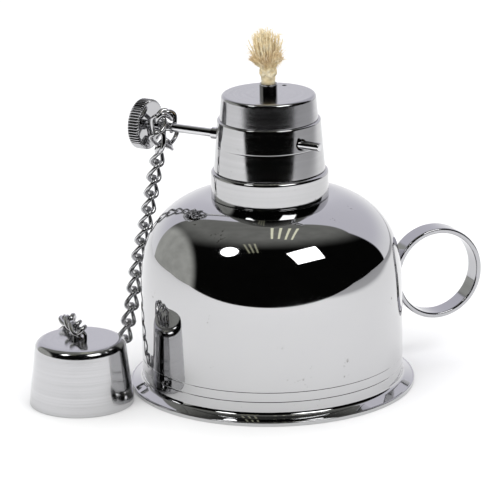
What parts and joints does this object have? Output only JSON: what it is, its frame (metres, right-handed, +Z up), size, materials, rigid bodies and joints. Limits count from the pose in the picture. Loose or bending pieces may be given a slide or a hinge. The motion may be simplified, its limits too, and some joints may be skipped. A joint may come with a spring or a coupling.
{
  "type": "spirit lamp",
  "caption": "Chromed spirit lamp with a domed fuel tank, finger ring, screw-in burner, geared wick raiser with a side knob, and a snuffer cap on a chain.",
  "frame": {"origin": "centre of the foot's underside, on the lamp's axis", "axes": "+Z up along the lamp's axis; the snuffer cap lies towards -X and the finger ring towards +X"},
  "size_m": [0.1279, 0.08, 0.1006],
  "materials": {
    "tank_chrome": "mirror polished",
    "ring_chrome": "polished",
    "burner_chrome": "mirror polished",
    "crown_brushed": "brushed round",
    "cap_satin": "fine turned, satin",
    "knob_chrome": "polished, knurled edge",
    "shaft_steel": "polished",
    "chain_chrome": "polished",
    "turned_brass": "turned",
    "solder": "dull",
    "gasket_rubber": "matt",
    "wick_cotton": "braided"
  },
  "bodies": {
    "tank": {"tank_shell": "tank_chrome", "tank_bottom": "tank_chrome", "foot_rim": "tank_chrome", "neck_ring": "turned_brass", "handle_ring": "ring_chrome", "handle_solder": "solder"},
    "gasket": {"neck_gasket": "gasket_rubber"},
    "burner": {"burner_collar": "burner_chrome", "burner_plate": "turned_brass", "burner_sleeve": "burner_chrome", "burner_crown": "crown_brushed", "wick_tube": "burner_chrome", "wheel_housing": "turned_brass", "shaft_bush": "shaft_steel", "chain_loop": "chain_chrome"},
    "raiser": {"raiser_shaft": "shaft_steel", "adjuster_knob": "knob_chrome", "wick_wheel": "turned_brass", "stop_rings": "turned_brass"},
    "wick": {"wick": "wick_cotton"},
    "chain": {"hanging_chain": "chain_chrome"},
    "cap": {"cap_chain": "chain_chrome", "cap_shell": "cap_satin", "staple_washer": "turned_brass", "cap_staple": "chain_chrome"}
  },
  "joints": [
    {"name": "gasket_lift", "type": "slide", "parent": "tank", "child": "gasket", "axis": [0, 0, 1], "range_m": [0, 0.0005]},
    {"name": "burner_turn", "type": "hinge", "parent": "gasket", "child": "burner", "pos_m": [0, 0, 0.058], "axis": [0, 0, 1], "range_deg": [0, 120]},
    {"name": "raiser_turn", "type": "hinge", "parent": "burner", "child": "raiser", "pos_m": [-0.0029, -0.00502, 0.07167], "axis": [0.866, -0.5, 0], "range_deg": [-14, 120]},
    {"name": "wick_travel", "type": "slide", "parent": "burner", "child": "wick", "axis": [0, 0, 1], "range_m": [-0.001, 0.008]},
    {"name": "chain_swing", "type": "hinge", "parent": "burner", "child": "chain", "pos_m": [-0.03047, 0.01089, 0.06468], "axis": [0.5, 0.866, 0], "range_deg": [0, 30]},
    {"name": "cap_upright", "type": "hinge", "parent": "chain", "child": "cap", "pos_m": [-0.0419, 0.00411, 0.01065], "axis": [0.5, 0.866, 0], "range_deg": [-30, 0]}
  ],
  "couplings": [
    {"joint": "gasket_lift", "follows": "burner_turn", "m_per_rad": 0.00023873},
    {"joint": "wick_travel", "follows": "raiser_turn", "m_per_rad": 0.00378},
    {"joint": "cap_upright", "follows": "chain_swing", "ratio": -1}
  ]
}
